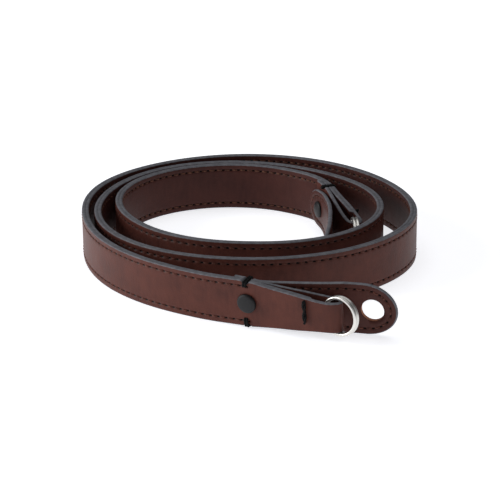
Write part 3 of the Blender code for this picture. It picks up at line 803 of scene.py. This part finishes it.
TACK_THREAD = 0.9
PACKED_THREAD = 1.0  # as it swells against its neighbour
TACK_OFF_HIDE = 0.5  # from the hide to the middle of the thread
TACK_STANDS_OUT = 0.05  # past the strap's edge
TACK_DEPTHS = {"top": 2.3, "bottom": 3.4}  # in from the strap's edge, where the thread enters
TACK_FOOT = ((0.75, 0.1), (0.2, 0.35), (0.0, 0.75))  # inside the thread's line, up from its foot
TACK_SHOULDER = ((0.0, 0.5), (0.15, 0.15), (0.5, 0.0))  # inside the thread's line, short of its top
TACK_STRANDS_APART = 0.85
TACK_SLANT = 0.4
PLY_PITCH = 2.2
PLY_SWELL = 0.14  # share of the thread's width

# Waxed linen is dull and nearly black, with lint that the wax lays flat.
waxed_thread, tree, shader = new_material("black waxed linen thread")
place = add_node(tree, "TexCoord").outputs["Object"]
lint = add_node(tree, "TexNoise", {"Vector": place, "Scale": 2200.0, "Detail": 4.0}).outputs[0]
tree.links.new(blended(tree, lint, linear("#060607"), linear("#121213")), shader.inputs["Base Color"])
bump = add_node(tree, "Bump", {"Strength": 0.35, "Distance": 0.0002, "Height": lint})
tree.links.new(bump.outputs["Normal"], shader.inputs["Normal"])
shader.inputs["Roughness"].default_value = 0.75
shader.inputs["Specular IOR Level"].default_value = 0.15


def plied_thread(name, points, width):
    """Two plies twisted into one thread along points, whose ends taper over the last 0.15 mm.

    Its outline is a circle whose radius swells twice a turn, and it turns once per ply pitch.
    """
    knots = run_along(points)
    run = np.linspace(0, knots[-1], max(round(knots[-1] / 0.18), 8))
    line = np.column_stack([np.interp(run, knots, points[:, k]) for k in range(3)])
    soft = line.copy()
    soft[1:-1] = (line[:-2] + 2 * line[1:-1] + line[2:]) / 4
    ahead = unit(np.gradient(soft, axis=0))
    askew = unit(np.array([0.31, 0.86, 0.17]))  # no thread runs this way
    aside = unit(np.cross(ahead, askew))
    above = np.cross(ahead, aside)
    turned = np.radians(np.arange(14) * 360 / 14)
    twist = 2 * np.pi * run / PLY_PITCH
    swell = 1 - PLY_SWELL + PLY_SWELL * np.cos(2 * (turned - twist[:, None]))
    taper = np.clip(np.minimum(run, run[-1] - run) / 0.3 + 0.5, 0, 1)[:, None]
    radius = (width / 2 * swell * taper)[..., None]
    rings = soft[:, None] + radius * (np.cos(turned)[:, None] * aside[:, None]
                                      + np.sin(turned)[:, None] * above[:, None])
    return skin(name, rings[None], waxed_thread, crisp=80)


# Seen along the strap, one strand goes up the front and over to the back, and the other comes back.
for end in ENDS:
    front = STRAP_FACE + TACK_OFF_HIDE
    behind = end["loop"][-1][1] - OUTER_THICKNESS / 2 - TACK_OFF_HIDE
    top = STRAP_WIDTH / 2 + TACK_STANDS_OUT - TACK_THREAD / 2
    for which, edge in (("top", 1), ("bottom", -1)):
        low = STRAP_WIDTH / 2 - TACK_DEPTHS[which]
        side_view = [(front - into, low + up) for into, up in TACK_FOOT]
        side_view += [(front - into, top - down) for into, down in TACK_SHOULDER]
        side_view += [((front + behind) / 2, top)]
        side_view += [(behind + into, top - down) for into, down in TACK_SHOULDER[::-1]]
        side_view = through(side_view, 0.25)
        slanted = end["tack_at"] + TACK_SLANT * (side_view[:, 1] - top) / (top - low)
        apart = TACK_STRANDS_APART / 2
        there = np.column_stack([slanted - apart, side_view])
        back_again = np.column_stack([slanted + apart, side_view])[::-1]
        strand = np.concatenate([there, back_again])
        points = in_space(end, strand[:, 0], strand[:, 1], edge * strand[:, 2])
        node_name = "bar_tack_%s_%s" % (which, end["name"])
        tack = plied_thread(node_name + "_thread", points, PACKED_THREAD)
        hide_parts(node_name)
        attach(tack, "root")


# ---------------------------------------------------------------- bar stitches
# Waxed thread, 0.7 mm thick where it is tight and 0.96 mm where it swells, sewn upright across
# the leg where the lining ends. Two strands cross over each other half way down.

BAR_THREAD = 0.7
SWOLLEN_THREAD = 0.96
THREAD_GAP = 0.15  # to the hide
STRAND_SWAY = 0.56  # share of the thread's width, to each side
BAR_STITCH_AT = 22.4  # past the tack
BAR_STITCH_UP = 1.45
BAR_STITCH_LENGTH = 8.6

# The strands wind once round each other: a sine along the strap and a cosine away from it.
for end in ENDS:
    sweep = BAR_THREAD * STRAND_SWAY
    away = STRAP_FACE + THREAD_GAP + BAR_THREAD / 2 + sweep
    share = np.linspace(0, 1, 40)
    strands = []
    for phase, order in ((0, share), (math.pi, share[::-1])):
        twist = 2 * math.pi * order + phase
        up = (order - 0.5) * BAR_STITCH_LENGTH + BAR_STITCH_UP
        strands.append(np.column_stack([BAR_STITCH_AT + sweep * np.sin(twist),
                                        away + sweep * np.cos(twist), up]))
    strand = np.concatenate(strands)
    points = in_space(end, *strand.T)
    bar = plied_thread("bar_stitch_thread_" + end["name"], points, SWOLLEN_THREAD)
    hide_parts("bar_stitch_" + end["name"])
    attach(bar, "root")


# ---------------------------------------------------------------- studio
# A pale paper floor, a wide soft box overhead, a stronger one low on the left and a weak card on
# the right. The camera stands 975 mm away and looks 20 degrees down, the photograph's angle. The
# paper glows a little, so that it is as white as the photograph's. Lengths here are in metres.

FLOOR_REACH = 3.0
CAMERA_DISTANCE = 0.975
CAMERA_DOWN = math.radians(20.0)
CAMERA_AIM = Vector((0.00027, 0.01753, 0.0))  # the origin of the coil's plan

# Matt coated paper with a faint tooth, which gives even white and soft contact shadows.
paper, tree, shader = new_material("pale seamless paper")
place = add_node(tree, "TexCoord").outputs["Object"]
tooth = add_node(tree, "TexNoise", {"Vector": place, "Scale": 300.0, "Detail": 3.0}).outputs[0]
tree.links.new(blended(tree, tooth, linear("#f6f7fa"), linear("#fafbfd")), shader.inputs["Base Color"])
shader.inputs["Roughness"].default_value = 0.95
shader.inputs["Emission Color"].default_value = linear("#fbfcff")
shader.inputs["Emission Strength"].default_value = 0.68

floor_mesh = bpy.data.meshes.new("floor")
corners = [(x * FLOOR_REACH, y * FLOOR_REACH, 0) for x, y in ((-1, -1), (1, -1), (1, 1), (-1, 1))]
floor_mesh.from_pydata(corners, [], [(0, 1, 2, 3)])
floor_mesh.materials.append(paper)
floor = bpy.data.objects.new("floor", floor_mesh)
bpy.context.scene.collection.objects.link(floor)

world = bpy.data.worlds.new("studio")
world.use_nodes = True
world.node_tree.nodes["Background"].inputs["Color"].default_value = linear("#f4f6ff")
world.node_tree.nodes["Background"].inputs["Strength"].default_value = 0.08
bpy.context.scene.world = world


def soft_box(name, at, size, watts):
    """A square area light at a place, turned towards the object."""
    light = bpy.data.lights.new(name, "AREA")
    light.shape = "SQUARE"
    light.size = size
    light.energy = watts
    made = bpy.data.objects.new(name, light)
    bpy.context.scene.collection.objects.link(made)
    made.location = at
    made.rotation_euler = (-Vector(at)).to_track_quat("-Z", "Y").to_euler()


soft_box("overhead soft box", (0.1, 0.25, 1.1), 1.2, 4.2)
soft_box("left soft box", (-1.2, -0.05, 0.4), 0.8, 12.5)
soft_box("right card", (0.9, -1.2, 0.5), 1.2, 3.4)

lens = bpy.data.cameras.new("camera")
lens.lens = 184.32
lens.sensor_width = 36.0
camera = bpy.data.objects.new("camera", lens)
bpy.context.scene.collection.objects.link(camera)
to_camera = Vector((0.0, -math.cos(CAMERA_DOWN), math.sin(CAMERA_DOWN)))
camera.location = CAMERA_AIM + CAMERA_DISTANCE * to_camera
camera.rotation_euler = (-to_camera).to_track_quat("-Z", "Y").to_euler()
bpy.context.scene.camera = camera
bpy.context.scene.view_settings.view_transform = "Standard"
